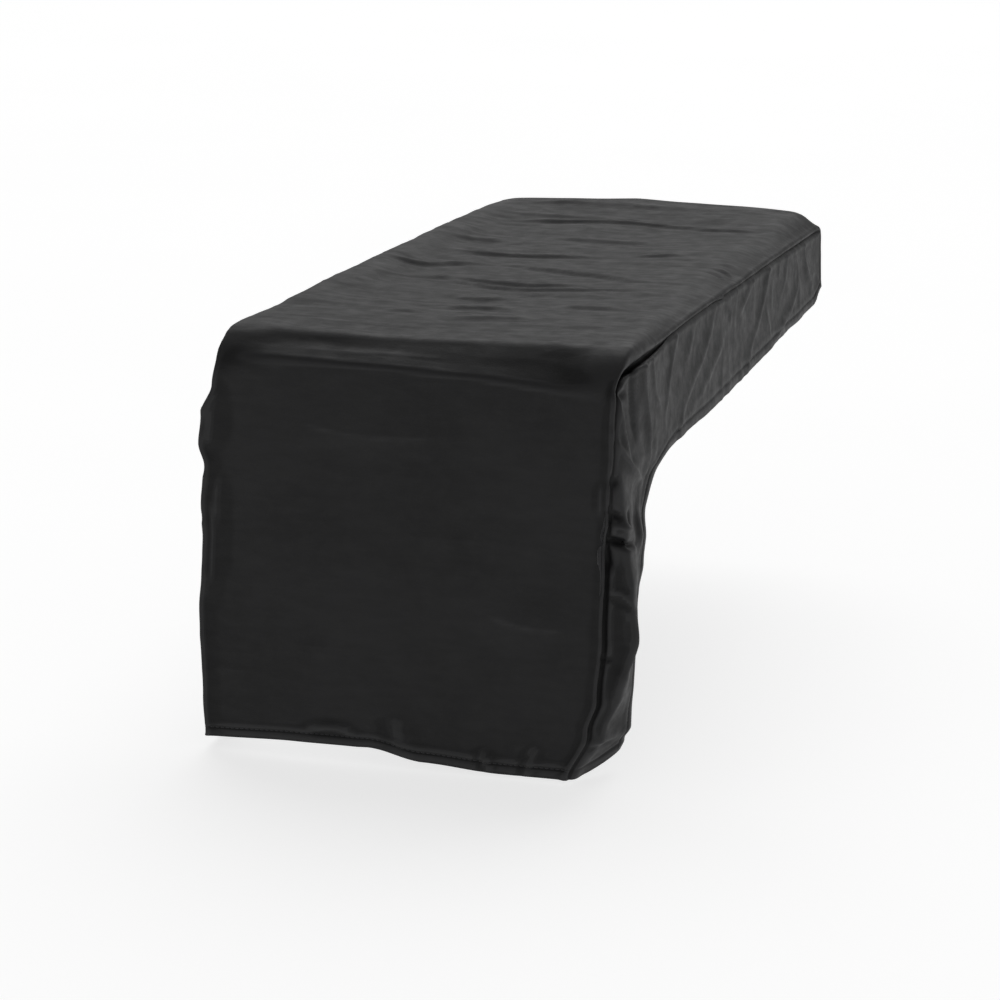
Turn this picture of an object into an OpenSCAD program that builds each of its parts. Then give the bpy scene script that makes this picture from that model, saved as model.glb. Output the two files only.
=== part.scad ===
// Fitted cover for a built-in outdoor side burner.
// One long main panel runs from the front hem, over the top and down the rear. Two side panels are
// sewn to it, and each is cut away in an arch so that the counter beside the burner stays clear.
// X is the width, -Y the front, +Z up. The origin is on the underside of the top, at its centre,
// where the cover rests on the burner's lid.

/* [Cover] */
// Width between the two side seams
cover_w = 320; // [260:1:400]
// Depth from the front face to the rear face
cover_d = 712; // [500:1:900]
// Drop of the front face and of the side strips behind it
front_drop = 327; // [260:1:400]
// Drop of the side skirts at the arch
side_drop = 97; // [80:1:130]
// Drop of the rear face
rear_drop = 78; // [60:1:100]
// Outward lean of the side panels, in degrees
flare = 1.5; // [0:0.5:3]

/* [Arches] */
// Width of each side strip at the arch
strip_w = 85; // [60:1:110]
// Width of each side strip at its foot
strip_foot_w = 55; // [40:1:110]
// Radius of the arch between the strip and the skirt
arch_r = 60; // [20:1:80]

/* [Folds] */
// Radius of the fold between the top and the front face
front_r = 24; // [20:1:40]
// Radius of the fold between the top and the rear face
rear_r = 18; // [15:1:30]
// Radius of the shoulder between the top and each side seam
shoulder_r = 16; // [10:1:20]

/* [Cloth] */
// Thickness of the vinyl facing
vinyl_t = 1; // [0.6:0.1:1.5]
// Thickness of the woven lining bonded to its inside
lining_t = 0.6; // [0.4:0.1:1]
// Thickness of the hem facings and of the seam tapes
tape_t = 0.8; // [0.5:0.1:1.2]
// Width of each hem facing
hem_w = 12; // [10:1:16]
// Half the width of a seam tape
tape_half = 8; // [6:1:12]

/* [Stitching] */
// Distance of the stitch row from the hem
stitch_inset = 8; // [4:0.5:8]
// Width of a stitch row
thread_w = 0.8; // [0.6:0.1:1]
// Height that the thread stands above the cloth
thread_t = 0.4; // [0.3:0.1:0.6]

/* [Hidden] */
$fn = 96;
vinyl = [0.12, 0.12, 0.125];
cloth = [0.2, 0.2, 0.21];
thread = [0.07, 0.07, 0.07];

front_y = -cover_d / 2;
rear_y = cover_d / 2;
side_x = cover_w / 2;
seam_z = -shoulder_r;        // height of the side seams
face_t = lining_t + vinyl_t; // how far the vinyl's outside stands off the burner
below_z = -front_drop - 40;  // a height below every hem
margin = 20;                 // how far the cutting shapes run past the cloth
cut_w = cover_w + 4 * margin;
cut_d = cover_d + 4 * margin;

// Where the edges of a strip and of its skirt would meet, and the way that each runs from there.
corner = [front_y + strip_w, -side_drop];
to_rear = unit([rear_y, -rear_drop] - corner);
to_foot = unit([front_y + strip_foot_w, -front_drop] - corner);
half_angle = acos(to_rear * to_foot) / 2;
inward = unit(to_rear + to_foot) / sin(half_angle);
arch_c = corner + inward * arch_r;

function unit(v) = v / norm(v);

// How far a side panel leans out at height z.
function lean(z) = (seam_z - z) * tan(flare);

// ---- drawing planes ----

// Pushes a Y-Z outline across the whole width.
module across() {
    rotate([90, 0, 90]) linear_extrude(cut_w, center = true) children();
}

// Pushes an X-Z outline along the whole depth.
module along() {
    rotate([90, 0, 0]) linear_extrude(cut_d, center = true) children();
}

// Keeps one side of the middle: side is -1 left, 1 right.
module on_side(side) {
    intersection() {
        children();
        translate([side * cut_w / 2, 0, 0]) cube([cut_w, cut_d, -3 * below_z], center = true);
    }
}

// Keeps one half of the depth: end is -1 front, 1 rear.
module on_end(end) {
    intersection() {
        children();
        translate([0, end * cut_d / 2, 0]) cube([cut_w, cut_d, -3 * below_z], center = true);
    }
}

// ---- the burner's shape, grown by g on every side ----

// What a rounding takes off a square corner; the corner is at the origin, up and left.
module corner_waste(r) {
    difference() {
        translate([-1, -r]) square([r + 1, r + 1]);
        translate([r, -r]) circle(r);
    }
}

// Seen from the side, with the front and rear folds rounded.
module side_view(g) {
    difference() {
        translate([front_y - g, below_z]) square([cover_d + 2 * g, g - below_z]);
        translate([front_y - g, g]) corner_waste(front_r + g);
        translate([rear_y + g, g]) mirror([1, 0]) corner_waste(rear_r + g);
    }
}

// Seen from the front, with rounded shoulders above the seams and sides that lean out below them.
module front_view(g) {
    top_x = side_x + g;
    foot_x = top_x + lean(below_z);
    difference() {
        polygon([
            [-foot_x, below_z], [-top_x, seam_z], [-top_x, g],
            [top_x, g], [top_x, seam_z], [foot_x, below_z]
        ]);
        translate([-top_x, g]) corner_waste(shoulder_r + g);
        translate([top_x, g]) mirror([1, 0]) corner_waste(shoulder_r + g);
    }
}

module burner(g) {
    intersection() {
        across() side_view(g);
        along() front_view(g);
    }
}

// The layer of cloth between the heights a and b above the burner.
module layer(a, b) {
    difference() {
        burner(b);
        burner(a);
    }
}

// The same layer over the burner's top and sides only.
module side_layer(a, b) {
    along() difference() {
        front_view(b);
        front_view(a);
    }
}

// ---- hems and seams ----

// Everything at least m inside the hems, seen from the side.
module hem_outline(m) {
    meet = corner - inward * m;
    reach = (arch_r + m) / tan(half_angle);
    foot = meet - to_foot * (meet[1] + front_drop - m) / to_foot[1];
    end = meet + to_rear * 2 * cover_d;
    difference() {
        polygon([
            [front_y - margin, margin], [front_y - margin, -front_drop + m],
            foot, meet + to_foot * reach, arch_c, meet + to_rear * reach,
            end, [end[0], margin]
        ]);
        translate(arch_c) circle(arch_r + m);
    }
}

module inside_hems(m) {
    across() hem_outline(m);
}

// The band between two distances from the hems.
module hem_band(m0, m1) {
    difference() {
        inside_hems(m0);
        inside_hems(m1);
    }
}

// The area of a side panel, seen from the side, grown by g at its ends and up to the height top.
module side_area(g, top) {
    intersection() {
        across() side_view(g);
        translate([0, 0, top + below_z]) cube([cut_w, cut_d, -2 * below_z], center = true);
    }
}

// Everything on a side panel that lies at least m inside its seams.
module inside_seams(m) {
    side_area(-m, seam_z - m);
}

// ---- layers cut into panels ----

module main_part(a, b) {
    difference() {
        intersection() {
            layer(a, b);
            inside_hems(0);
        }
        side_area(a, seam_z);
    }
}

module side_part(a, b, side) {
    on_side(side) intersection() {
        side_layer(a, b);
        inside_hems(0);
        side_area(a, seam_z);
    }
}

// A tape that covers a seam on the inside, tape_half to each side of it.
module seam_tape(side) {
    top_x = side_x - tape_half;
    foot_x = top_x + lean(below_z);
    color(cloth) difference() {
        on_side(side) intersection() {
            layer(-tape_t, 0);
            inside_hems(hem_w);
        }
        inside_seams(tape_half);
        along() polygon([
            [-foot_x, below_z], [-top_x, seam_z], [-top_x, margin],
            [top_x, margin], [top_x, seam_z], [foot_x, below_z]
        ]);
    }
}

// A turned-in facing along a front or rear hem.
module end_facing(end) {
    color(vinyl) difference() {
        on_end(end) intersection() {
            layer(-tape_t, 0);
            hem_band(0, hem_w);
        }
        side_area(-tape_t, seam_z);
    }
}

// The facing along the hem of a side panel, around its arch.
module arch_facing(side) {
    color(vinyl) on_side(side) intersection() {
        side_layer(-tape_t, 0);
        hem_band(0, hem_w);
        side_area(-tape_t, seam_z);
    }
}

// ---- stitching ----

// Where the row that holds a hem runs.
module hem_row_band() {
    hem_band(stitch_inset - thread_w / 2, stitch_inset + thread_w / 2);
}

// The row along a front or rear hem, standing on the vinyl.
module end_row(end) {
    color(thread) difference() {
        on_end(end) intersection() {
            layer(face_t, face_t + thread_t);
            hem_row_band();
        }
        side_area(face_t, seam_z);
    }
}

// The row along the hem of a side panel, standing on the vinyl.
module arch_row(side) {
    color(thread) on_side(side) intersection() {
        side_layer(face_t, face_t + thread_t);
        hem_row_band();
        side_area(face_t, seam_z);
    }
}

// The row that holds a seam tape to its side panel, standing on the tape.
module seam_row(side) {
    color(thread) difference() {
        on_side(side) intersection() {
            side_layer(-tape_t - thread_t, -tape_t);
            inside_hems(hem_w);
            inside_seams((tape_half - thread_w) / 2);
        }
        inside_seams((tape_half + thread_w) / 2);
    }
}

// ---- the parts ----

module main_panel() { color(vinyl) main_part(lining_t, face_t); }
module left_side_panel() { color(vinyl) side_part(lining_t, face_t, -1); }
module right_side_panel() { color(vinyl) side_part(lining_t, face_t, 1); }
module main_lining() { color(cloth) main_part(0, lining_t); }
module left_side_lining() { color(cloth) side_part(0, lining_t, -1); }
module right_side_lining() { color(cloth) side_part(0, lining_t, 1); }
module left_seam_tape() { seam_tape(-1); }
module right_seam_tape() { seam_tape(1); }
module front_hem_facing() { end_facing(-1); }
module rear_hem_facing() { end_facing(1); }
module left_arch_facing() { arch_facing(-1); }
module right_arch_facing() { arch_facing(1); }
module left_seam_stitching() { seam_row(-1); }
module right_seam_stitching() { seam_row(1); }
module front_hem_stitching() { end_row(-1); }
module rear_hem_stitching() { end_row(1); }
module left_arch_stitching() { arch_row(-1); }
module right_arch_stitching() { arch_row(1); }

main_panel();
left_side_panel();
right_side_panel();
main_lining();
left_side_lining();
right_side_lining();
left_seam_tape();
right_seam_tape();
front_hem_facing();
rear_hem_facing();
left_arch_facing();
right_arch_facing();
left_seam_stitching();
right_seam_stitching();
front_hem_stitching();
rear_hem_stitching();
left_arch_stitching();
right_arch_stitching();
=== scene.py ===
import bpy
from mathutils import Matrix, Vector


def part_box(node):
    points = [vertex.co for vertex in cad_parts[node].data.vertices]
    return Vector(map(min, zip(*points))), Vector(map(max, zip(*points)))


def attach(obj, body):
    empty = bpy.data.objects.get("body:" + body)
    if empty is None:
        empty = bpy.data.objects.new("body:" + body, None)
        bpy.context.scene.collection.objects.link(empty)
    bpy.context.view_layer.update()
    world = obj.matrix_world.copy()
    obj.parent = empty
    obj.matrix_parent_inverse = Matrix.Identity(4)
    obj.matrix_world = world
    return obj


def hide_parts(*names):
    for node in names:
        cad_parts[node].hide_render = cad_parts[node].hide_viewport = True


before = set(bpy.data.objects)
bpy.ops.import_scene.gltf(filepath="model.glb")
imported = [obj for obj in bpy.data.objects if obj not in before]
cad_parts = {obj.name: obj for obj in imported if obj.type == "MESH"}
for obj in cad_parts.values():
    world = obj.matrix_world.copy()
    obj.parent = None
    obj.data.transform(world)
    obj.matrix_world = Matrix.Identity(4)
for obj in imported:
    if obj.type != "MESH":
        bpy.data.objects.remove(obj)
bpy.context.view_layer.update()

import math

import bpy
import numpy as np
from mathutils import Vector

# The cover is one grid of points: a long main strip, with a side grid welded to it along each seam.
# Its clean rounded shape is drawn first. It is then pulled to its broad shape, folded along lines given
# in millimetres, puckered at the seams and rolled at the hems, and last cut into its pieces.

MM = 0.001

# ---- sizes from the frame ----

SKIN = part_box("main_panel")[1].z      # how far the vinyl's outside stands off the burner
VINYL_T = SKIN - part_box("main_lining")[1].z
LINING_T = SKIN - VINYL_T
TAPE_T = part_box("rear_hem_facing")[1].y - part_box("rear_hem_facing")[0].y
SIDE_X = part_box("right_side_lining")[0].x
FRONT_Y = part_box("right_seam_tape")[0].y
REAR_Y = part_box("right_seam_tape")[1].y
SEAM_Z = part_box("right_side_panel")[1].z
FRONT_FOOT_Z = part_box("main_panel")[0].z
REAR_FOOT_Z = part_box("rear_hem_facing")[0].z

# ---- the cut of the cloth ----

FLARE = math.tan(math.radians(1.5))     # how far a side leans out for each unit that it drops
FRONT_R = 35 * MM
FOLD_EDGE = 30.0        # how crisp the two edges of the front fold's slope are
REAR_R = 18 * MM
STRIP_W = 85 * MM
STRIP_FOOT_W = 55 * MM
ARCH_R = 60 * MM
SIDE_FOOT_Z = -97 * MM  # where the strip's edge and the skirt's would meet without the arch
HEM_ROW = 8 * MM        # the hem's stitch row
HEM_W = 12 * MM         # the facing behind the hem
TAPE_HALF = 8.4 * MM    # half the width of a seam tape

# Grid lines beside a hem and beside a seam, and the spacing of the others
HEM_LINES = np.array([0, 0.6, 1.5, 2.8, 4.4, 6.0, 7.2, 8.0, 8.8, 10.2, 12.0, 14.4, 17.0]) * MM
SEAM_LINES = np.array([0, 0.6, 1.3, 2.2, 3.3, 4.6, 6.2, 8.4, 11.0, 14.0]) * MM
STEP = 2.3 * MM         # along the cover
STEPS_ACROSS = 72       # between the lines beside the two seams
SIDE_MIDDLE = 24        # steps between those beside the seam and those beside the hem
ARC_POINTS = 40
ROW_LINE = int(np.argmin(abs(HEM_LINES - HEM_ROW)))
FACING_LINE = int(np.argmin(abs(HEM_LINES - HEM_W)))
TAPE_LINE = int(np.argmin(abs(SEAM_LINES - TAPE_HALF)))
TAPE_ROW_LINE = 5       # the grid line under the thread that holds the tape


# ---- small tools ----

def smooth(low, high, value):
    """0 below low, 1 above high and a smooth rise between."""
    t = np.clip((value - low) / (high - low), 0, 1)
    return t * t * (3 - 2 * t)


def ease(value, knots, levels):
    """Levels at the knots, with a smooth rise or fall between them."""
    knots, levels = np.asarray(knots, float), np.asarray(levels, float)
    i = np.clip(np.searchsorted(knots, value) - 1, 0, len(knots) - 2)
    return levels[i] + (levels[i + 1] - levels[i]) * smooth(knots[i], knots[i + 1], value)


def bump(value, centre, width):
    return np.exp(-((value - centre) / width) ** 2)


def noise(points, size, seed):
    """Smooth value noise from -1 to 1 over points, with features of about that size."""
    p = points / size + seed * 17.31
    cell = np.floor(p).astype(np.int64)
    f = p - cell
    f = f * f * f * (f * (f * 6 - 15) + 10)
    total = 0
    for corner in range(8):
        step = np.array([corner & 1, corner >> 1 & 1, corner >> 2 & 1])
        c = cell + step
        h = c[:, 0] * 73856093 ^ c[:, 1] * 19349663 ^ c[:, 2] * 83492791 ^ seed * 2654435761
        h = (h ^ (h >> 13)) * 1274126177 & 0x7fffffff
        value = (h ^ (h >> 16)) % 65536 / 32767.5 - 1
        total = total + value * np.prod(np.where(step, f, 1 - f), axis=1)
    return total


def spaced(length, first, last, middle):
    """Grid lines along a length: at first from its start, at last from its end, and evenly between."""
    inner = np.linspace(first[-1], length - last[-1], middle + 1)[1:-1]
    return np.concatenate([first, inner, (length - last)[::-1]])


def along(path, distances):
    """Points at those distances along a path of many points."""
    steps = np.linalg.norm(np.diff(path, axis=0), axis=1)
    total = np.concatenate([[0], np.cumsum(steps)])
    return np.column_stack([np.interp(distances, total, path[:, i]) for i in range(path.shape[1])])


def length_of(path):
    return float(np.linalg.norm(np.diff(path, axis=0), axis=1).sum())


def arc(centre, radius, start, end):
    angles = np.radians(np.linspace(start, end, ARC_POINTS))
    return np.column_stack([centre[0] + radius * np.cos(angles), centre[1] + radius * np.sin(angles)])


def unit(v):
    return v / np.linalg.norm(v)


# ---- base shape: the main strip ----

def centre_line():
    """The strip's middle in the Y-Z plane, from the front hem over the top to the rear hem.

    Its lengths to the end of the front fold and to the middle of the rear fold come with it."""
    front = arc((FRONT_Y + FRONT_R, -FRONT_R), FRONT_R + SKIN, 180, 90)
    rear = arc((REAR_Y - REAR_R, -REAR_R), REAR_R + SKIN, 90, 0)
    start = [[FRONT_Y - SKIN, FRONT_FOOT_Z]]
    end = [[REAR_Y + SKIN, REAR_FOOT_Z]]
    to_top = np.vstack([start, front])
    to_corner = np.vstack([to_top, rear[:ARC_POINTS // 2]])
    return np.vstack([to_top, rear, end]), length_of(to_top), length_of(to_corner)


path_yz, top_start, corner_s = centre_line()
strip_length = length_of(path_yz)
half_width = SIDE_X + SKIN

side_lines = len(SEAM_LINES) + SIDE_MIDDLE - 1 + len(HEM_LINES)
middle_s = corner_s - HEM_LINES[-1] - SEAM_LINES[-1]
long_lines = spaced(corner_s, HEM_LINES, SEAM_LINES, round(middle_s / STEP))
rear_lines = corner_s + spaced(strip_length - corner_s, SEAM_LINES, HEM_LINES, SIDE_MIDDLE)[1:]
v_lines = np.concatenate([long_lines, rear_lines])
u_lines = spaced(2 * half_width, SEAM_LINES, SEAM_LINES, STEPS_ACROSS)
N_V = len(v_lines)
N_U = len(u_lines)
CORNER_V = len(long_lines) - 1


def shoulder(drop, wide):
    """Distance from the seam, inset and fall of a shoulder that slopes to the seam as a soft facet."""
    d = np.linspace(0, 60 * MM, 241)
    lip = min(1.5 * MM, 0.3 * drop)
    soft = 0.13
    fall = (drop - lip) * soft * np.logaddexp(0, (1 - d / wide) / soft) + lip * np.exp(-d / (2.5 * MM))
    flat = np.sqrt(np.maximum(np.diff(d) ** 2 - np.diff(fall) ** 2, (0.35 * d[1]) ** 2))
    return d, np.concatenate([[0], np.cumsum(flat)]), fall


def shoulder_sizes(v, y, side):
    """How far the edge of the strip falls, and over what width, at the length v along it."""
    y_mm = y / MM
    fall_top = ease(y_mm, [FRONT_Y / MM, -300, -140, 100, REAR_Y / MM], [17, 13, 9, 11, 14])
    if side > 0:
        wide_top = ease(y_mm, [-330, -230, -120, 40, 330], [9, 17, 24, 28, 22])
    else:
        wide_top = ease(y_mm, [-330, 0, 330], [9, 15, 15])
    fall_below, wide_below = 4, 4.5
    on_top = smooth(top_start - 45 * MM, top_start - 10 * MM, v)
    on_top *= 1 - smooth(corner_s - 6 * MM, corner_s + 16 * MM, v)
    fall = fall_below + (fall_top - fall_below) * on_top
    wide = wide_below + (wide_top - wide_below) * on_top
    return fall * MM, wide * MM


def main_strip():
    centre = along(path_yz, v_lines)
    ahead = along(path_yz, v_lines + 0.2 * MM) - along(path_yz, v_lines - 0.2 * MM)
    normal = np.column_stack([-ahead[:, 1], ahead[:, 0]])
    normal /= np.linalg.norm(normal, axis=1)[:, None]
    edge = np.minimum(u_lines, 2 * half_width - u_lines)
    points = np.zeros((N_V, N_U, 3))
    for i in range(N_V):
        for side in (-1, 1):
            here = (u_lines - half_width) * side > -1e-9
            drop, wide = shoulder_sizes(v_lines[i], centre[i, 0], side)
            d, inset, fall = shoulder(drop, wide)
            e = np.minimum(edge[here], d[-1])
            x = half_width - np.interp(e, d, inset)
            x *= np.minimum((half_width - edge[here]) / (half_width - d[-1]), 1)
            sink = np.interp(e, d, fall)
            z = centre[i, 1] - normal[i, 1] * sink
            lean = FLARE * np.maximum(SEAM_Z - z, 0)
            points[i, here, 0] = side * (x + lean * x / half_width)
            points[i, here, 1] = centre[i, 0] - normal[i, 0] * sink
            points[i, here, 2] = z
    return points


strip = main_strip()


# ---- base shape: the side grids ----

def hem_path():
    """A side panel's hem in the Y-Z plane, from the strip's foot round the arch to the rear corner."""
    meet = np.array([FRONT_Y + STRIP_W, SIDE_FOOT_Z])
    foot = np.array([FRONT_Y + STRIP_FOOT_W, FRONT_FOOT_Z])
    end = np.array([REAR_Y + SKIN, REAR_FOOT_Z])
    to_foot = unit(foot - meet)
    to_rear = unit(end - meet)
    half = math.acos(to_foot @ to_rear) / 2
    centre = meet + unit(to_foot + to_rear) * ARCH_R / math.sin(half)
    first = meet + to_foot * ARCH_R / math.tan(half) - centre
    last = meet + to_rear * ARCH_R / math.tan(half) - centre
    start_angle = math.degrees(math.atan2(first[1], first[0])) % 360
    end_angle = math.degrees(math.atan2(last[1], last[0])) % 360
    return np.vstack([[foot], arc(centre, ARCH_R, start_angle, end_angle), [end]])


def side_grid(edge, rear_edge):
    """Rows from the seam to the hem. edge is the main strip's edge, from the front hem to the rear corner.

    rear_edge is the rest of that edge, down to the rear hem. The rows near it are drawn in to it."""
    hem = hem_path()
    seam = edge[:, 1:]
    steps = np.concatenate([[0], np.cumsum(np.linalg.norm(np.diff(seam, axis=0), axis=1))])
    front = -FRONT_FOOT_Z
    hem_length = length_of(hem)
    strip_edge = np.linalg.norm(hem[1] - hem[0])

    # Each row joins a length along the seam to one along the hem, evened out over the rows near it.
    seam_knots = [0, front - 150 * MM, front - 8 * MM, front + 150 * MM, front + 400 * MM, steps[-1]]
    hem_knots = [0, strip_edge - 10 * MM, strip_edge + ARCH_R * 0.8, strip_edge + ARCH_R * 1.6 + 15 * MM,
                 hem_length - (steps[-1] - front - 400 * MM), hem_length]
    reach = np.interp(steps, seam_knots, hem_knots)
    half = 15
    before = 2 * reach[0] - reach[half:0:-1]
    after = 2 * reach[-1] - reach[-2:-2 - half:-1]
    window = 2 * half + 1
    reach = np.convolve(np.concatenate([before, reach, after]), np.ones(window) / window, "valid")
    reach[0] = 0
    reach[-1] = hem_length
    hems = along(hem, reach)
    side = np.sign(edge[0, 0])
    points = np.zeros((len(edge), side_lines, 3))
    for i in range(len(edge)):
        row = hems[i] - seam[i]
        length = np.linalg.norm(row)
        share = spaced(length, SEAM_LINES, HEM_LINES, SIDE_MIDDLE) / length
        points[i, :, 1:] = seam[i] + row * share[:, None]
    points[:, :, 0] = side * (half_width + FLARE * np.maximum(SEAM_Z - points[:, :, 2], 0))
    points[:, 0] = edge
    down = np.linalg.norm(rear_edge - rear_edge[0], axis=1)
    drawn_in = 10 * MM + 50 * MM * smooth(10 * MM, 35 * MM, down)
    near_rear = smooth(1, 0, (steps[-1] - steps)[:, None] / drawn_in)
    return points + near_rear[:, :, None] * (rear_edge - points[-1])


left = side_grid(strip[:CORNER_V + 1, 0], strip[CORNER_V:, 0])
right = side_grid(strip[:CORNER_V + 1, -1], strip[CORNER_V:, -1])


# ---- one welded set of points ----

def weld():
    """All points, and each grid's point numbers; the side grids share the strip's numbers at the seams."""
    strip_ids = np.arange(N_V * N_U).reshape(N_V, N_U)
    points = [strip.reshape(-1, 3)]
    count = N_V * N_U
    side_ids = []
    for grid, column in ((left, 0), (right, N_U - 1)):
        ids = np.zeros(grid.shape[:2], int)
        ids[:, 0] = strip_ids[:CORNER_V + 1, column]
        ids[-1, :] = strip_ids[CORNER_V:, column]
        own = (grid.shape[0] - 1) * (grid.shape[1] - 1)
        ids[:-1, 1:] = count + np.arange(own).reshape(grid.shape[0] - 1, -1)
        points.append(grid[:-1, 1:].reshape(-1, 3))
        count += own
        side_ids.append(ids)
    return np.vstack(points), strip_ids, side_ids[0], side_ids[1]


points, strip_ids, left_ids, right_ids = weld()


def quads(ids, flip=False):
    a, b, c, d = ids[:-1, :-1], ids[:-1, 1:], ids[1:, 1:], ids[1:, :-1]
    faces = np.stack([a, b, c, d], axis=-1).reshape(-1, 4)
    return faces[:, ::-1] if flip else faces


strip_faces = quads(strip_ids)
left_faces = quads(left_ids, flip=True)
right_faces = quads(right_ids)
all_faces = np.vstack([strip_faces, left_faces, right_faces])


def normals(points):
    a, b, c, d = (points[all_faces[:, i]] for i in range(4))
    cross = np.cross(c - a, d - b)
    total = np.zeros_like(points)
    for i in range(4):
        np.add.at(total, all_faces[:, i], cross)
    return total / np.maximum(np.linalg.norm(total, axis=1), 1e-12)[:, None]


def grid_distances():
    """Each point's distance from the nearest seam and from the nearest hem, across the clean grids."""
    from_seam = np.full(len(points), 1.0)
    from_hem = np.full(len(points), 1.0)
    edge = np.minimum(u_lines, 2 * half_width - u_lines)
    from_seam[strip_ids] = np.broadcast_to(edge, (N_V, N_U))
    to_end = np.minimum(v_lines, strip_length - v_lines)
    from_hem[strip_ids] = np.broadcast_to(to_end[:, None], (N_V, N_U))
    for ids, grid in ((left_ids, left), (right_ids, right)):
        down = np.linalg.norm(grid - grid[:, :1], axis=2)
        back = np.broadcast_to(corner_s - long_lines[:, None], down.shape)
        seam = np.minimum(down, back)
        up = np.linalg.norm(grid - grid[:, -1:], axis=2)
        hem = np.minimum(up, np.broadcast_to(long_lines[:, None], up.shape))
        from_seam[ids] = seam
        from_hem[ids] = np.minimum(hem, from_hem[ids])
    return from_seam, from_hem


from_seam, from_hem = grid_distances()
base = points.copy()


# ---- where each point lies along and across the seams ----

def seam_stations():
    """Each point's place along its seam, so that puckers cross the seam without a break."""
    place = np.zeros(len(points))
    place[strip_ids] = v_lines[:, None]
    for ids in (left_ids, right_ids):
        rows = np.broadcast_to(long_lines[:, None], ids.shape).copy()
        near_rear = smooth(30 * MM, 0, corner_s - rows)
        down = np.linalg.norm(base[ids] - base[ids[:, :1]], axis=2)
        place[ids] = rows + down * near_rear
    return place


station = seam_stations()
in_strip = np.zeros(len(points), bool)
in_strip[strip_ids.ravel()] = True


# ---- the drape: broad shape ----

X, Y, Z = base.T / MM
half_mm = half_width / MM


def crown():
    """The top rises towards the rear edge, sags a little ahead of it, and has a low rail on its left."""
    rise = ease(Y, [-360, 170, 235, 325, 362], [0, 0, 1.2, 8.2, 8.6])
    rise = rise * (1 - 0.62 * (X / 150) ** 2)
    sag = -2.2 * bump(X, 0, 100) * bump(Y, -70, 190)
    uneven = 1.1 * noise(base, 130 * MM, 3) + 0.6 * noise(base, 60 * MM, 4)
    on_top = smooth(-12, -2, Z)
    rail = 6.5 * bump(X, -142, 24) * ease(Y, [-270, -120, 220, 345], [0, 1, 1, 0])
    d = from_seam / MM
    return ((rise + sag + uneven) * smooth(0, 34, d) + rail * smooth(0, 16, d)) * on_top


def flat_fold():
    """How far the front fold stands out from its round corner, to be a flat slope across the middle.

    The slope starts slope_back behind the front face and ends slope_down below the top."""
    big = (FRONT_R + SKIN) / MM
    slope_back = 33
    slope_down = ease(X, [-130, -40, 40, 125], [16, 18, 21, 27])
    angle = np.arctan2(np.maximum(Z + FRONT_R / MM, 0), np.maximum((FRONT_Y + FRONT_R) / MM - Y, 1e-6))
    forward, upward = np.cos(angle), np.sin(angle)
    on_front = big / np.maximum(forward, 1e-6)
    on_top = big / np.maximum(upward, 1e-6)
    on_slope = (big / slope_back + big / slope_down - 1) / (forward / slope_back + upward / slope_down)
    radius = (on_front ** -FOLD_EDGE + on_top ** -FOLD_EDGE + on_slope ** -FOLD_EDGE) ** (-1 / FOLD_EDGE)
    in_fold = (Z > -FRONT_R / MM) * (Y < (FRONT_Y + FRONT_R) / MM) * in_strip
    out = (radius - big) * (1 - smooth(105, 152, abs(X))) * in_fold
    return -forward * out, upward * out


def left_bulge():
    """The left side stands out in two soft puffs below the front fold."""
    out = ease(Z, [-330, -290, -215, -190, -160, -131, -103, -86, -62, -40, -20],
               [-7, -9, -12, -10, -9, -10.5, -8, -13, -11, -2, 0])
    near_front = 1 - smooth(-290, -90, Y)
    skirt = 0.35 * smooth(-10, -70, Z)
    side_share = smooth(-half_mm + 45, -half_mm + 1, X)
    return out * side_share * np.maximum(near_front, skirt)


def right_foot():
    """The right strip wraps round to the front, more towards its foot.

    Below the arch its first few millimetres lie flat beside the front, and then it turns the corner."""
    seam = ease(Z, [-330, -288, -262, -214, -150, -110, -68, -20, 0],
                [-49, -31, -23, -18, -15, -12, -9, -6, 0])
    hem = ease(Z, [-330, -317, -297, -243, -188, -170, -148, -127, -108, -85],
               [-22, -18, -12, -8, -6, -3, -2, -5.5, -5.5, 0])
    wrap = ease(Z, [-330, -300, -273, -244, -213, -180, -150, -110, -60, -20],
                [6, 10, 14, 19, 23, 21, 17, 9, 3, 0])
    wrap = wrap * (1 - smooth(-290, -235, Y))
    across = np.maximum(Y + 352.6, 0)
    over = across - wrap
    back = 0.5 * (over + np.sqrt(over ** 2 + 20)) - 0.5 * (np.sqrt(wrap ** 2 + 20) - wrap)
    on_side = seam + (across - back) + (hem - seam - wrap) * smooth(2, 46, back)
    on_side *= 1 - smooth(-275, -215, Y)
    reach = ease(Z, [-330, -250, -100, 0], [200, 130, 55, 40])
    near = np.clip(1 - (half_mm + 4 - X) / reach, 0, 1) ** 2
    on_front = seam * near * smooth(-310, -345, Y)
    right = X > 0
    dy = np.where(in_strip, 0, back - across) * right * smooth(0, 3, from_seam / MM)
    return np.where(in_strip, on_front, on_side) * right, dy


def foot_lift():
    """The hems of the front and of the right strip rise and fall along their length."""
    front = ease(X, [-165, -100, -48, -40, 5, 85, 165], [5, 8, 8.5, 9, 1.5, -1.5, -1])
    lift = front * smooth(-270, -330, Z) * smooth(-330, -350, Y)
    rear_of_strip = 11 * smooth(-335, -300, Y) * smooth(-290, -327, Z) * smooth(-270, -300, Y) * (X > 0)
    skirt = -4 * bump(Y, 0, 140) * smooth(-70, -95, Z) * smooth(-240, -150, Y)
    rear_corner = 11 * smooth(318, 358, Y) * smooth(120, 160, abs(X)) * smooth(-35, -78, Z)
    return lift + rear_of_strip + skirt + rear_corner


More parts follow.
